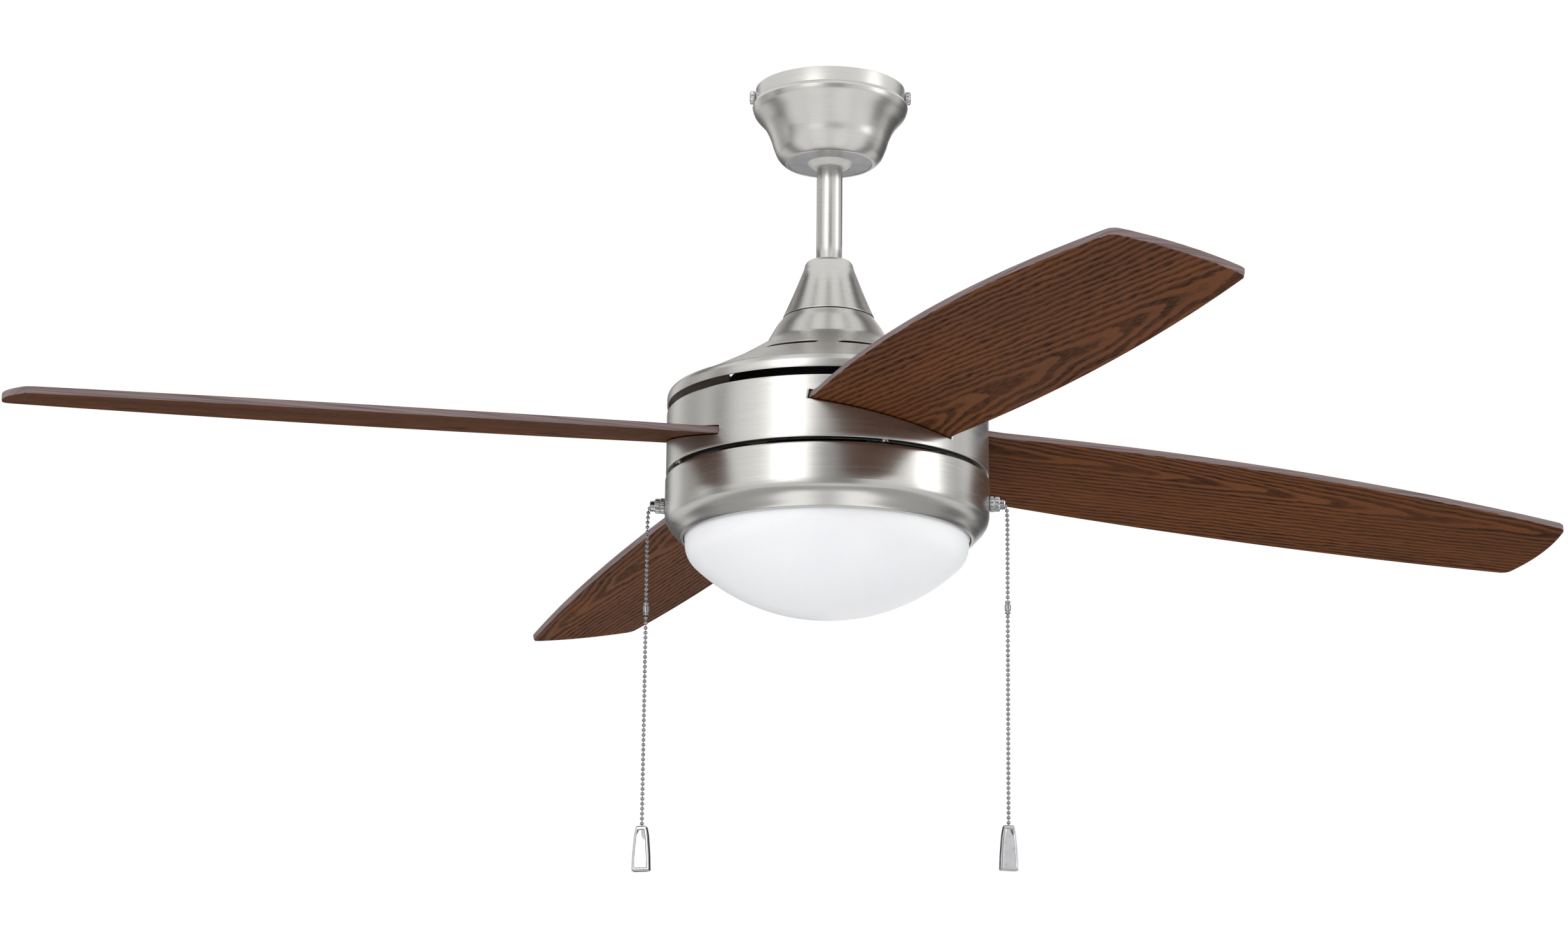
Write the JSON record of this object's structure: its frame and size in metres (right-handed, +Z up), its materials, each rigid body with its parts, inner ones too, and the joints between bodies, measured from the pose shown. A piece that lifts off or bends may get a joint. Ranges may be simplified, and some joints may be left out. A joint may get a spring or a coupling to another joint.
{
  "type": "ceiling fan with light",
  "caption": "Ceiling fan with downrod, blades through a turning nickel band, opal glass bowl light and bead pull chains",
  "frame": {"origin": "centre of the hanger bracket's slotted plate, on the face that meets the ceiling box, level with the canopy's top rim", "axes": "+Z up into the ceiling along the downrod; +Y away from the viewer, towards the back; +X to the right, along the line of the two outlet-box slots"},
  "size_m": [1.2536, 1.2536, 0.6486],
  "materials": {
    "nickel": "brushed nickel plating",
    "chrome": "bright plating",
    "zinc": "zinc plating",
    "steel": "ground bearing steel",
    "laminations": "stacked electrical steel",
    "shell": "cast aluminium",
    "copper": "enamelled copper",
    "oak": "dark oak veneer on board, long open grain",
    "ground": "green ground screw",
    "black": "moulded black",
    "insulation": "insulated wire",
    "porcelain": "white moulded socket",
    "lamp": "frosted lamp",
    "opal": "satin opal glass",
    "aluminium": "rolled channel",
    "orange": "moulded caps",
    "white_plastic": "white moulding"
  },
  "bodies": {
    "mount": {"hanger_bracket": "zinc", "canopy": "nickel", "canopy_screws": "chrome", "ground_screw": "ground"},
    "suspension": {"hanger_ball": "white_plastic", "ball_pin": "zinc", "downrod": "nickel", "set_screws": "zinc", "yoke_cover": "nickel", "motor_yoke": "zinc", "clevis_pin": "zinc", "cotter_clip": "zinc", "top_cover": "nickel", "housing_screws": "zinc", "motor_shaft": "steel", "stator_core": "laminations", "stator_windings": "copper", "bearing_inner_rings": "steel", "kit_plate": "zinc", "shaft_nut": "zinc", "light_ring": "nickel", "lamp_bracket": "zinc", "lamp_sockets": "porcelain", "lamp_bulbs": "lamp", "pull_switches": "black", "chain_nozzles": "chrome", "nozzle_nuts": "chrome", "capacitor": "black", "bowl_hooks": "zinc", "reverse_switch": "black", "lead_wires": "insulation", "wire_connectors": "orange"},
    "rotor": {"motor_top_shell": "shell", "motor_bottom_shell": "shell", "rotor_core": "laminations", "shell_screws": "zinc", "bearing_outer_rings": "steel", "flywheel": "shell", "rotor_screws": "zinc", "blade_arms": "zinc", "blade_1": "oak", "blade_2": "oak", "blade_3": "oak", "blade_4": "oak", "blade_screws": "zinc", "blade_band": "nickel", "band_spider": "zinc", "band_screws": "zinc"},
    "ball_set": {"bearing_balls": "steel"},
    "bowl": {"glass_bowl": "opal", "bowl_collar": "aluminium"},
    "fan_pull": {"fan_chain": "chrome", "fan_coupling": "chrome", "fan_fob": "chrome"},
    "light_pull": {"light_chain": "chrome", "light_coupling": "chrome", "light_fob": "chrome"},
    "reverse": {"reverse_knob": "white_plastic"}
  },
  "joints": [
    {"name": "hanger_tilt", "type": "hinge", "parent": "mount", "child": "suspension", "pos_m": [0, 0, -0.04597], "axis": [1, 0, 0], "range_deg": [-18, 18]},
    {"name": "rotor_spin", "type": "hinge", "parent": "suspension", "child": "rotor", "pos_m": [0, 0, -0.3], "axis": [0, 0, 1], "continuous": true},
    {"name": "bearing_roll", "type": "hinge", "parent": "suspension", "child": "ball_set", "pos_m": [0, 0, -0.26], "axis": [0, 0, 1], "continuous": true},
    {"name": "bowl_turn", "type": "hinge", "parent": "suspension", "child": "bowl", "pos_m": [0, 0, -0.38], "axis": [0, 0, 1], "range_deg": [0, 25]},
    {"name": "fan_chain_pull", "type": "slide", "parent": "suspension", "child": "fan_pull", "axis": [0, 0, -1], "range_m": [0, 0.008], "stiffness_N_per_m": 200, "springref_m": -0.01},
    {"name": "light_chain_pull", "type": "slide", "parent": "suspension", "child": "light_pull", "axis": [0, 0, -1], "range_m": [0, 0.008], "stiffness_N_per_m": 200, "springref_m": -0.01},
    {"name": "reverse_slide", "type": "slide", "parent": "suspension", "child": "reverse", "axis": [1, 0, 0], "range_m": [0, 0.006]}
  ],
  "couplings": [
    {"joint": "bearing_roll", "follows": "rotor_spin", "ratio": 0.5833}
  ]
}
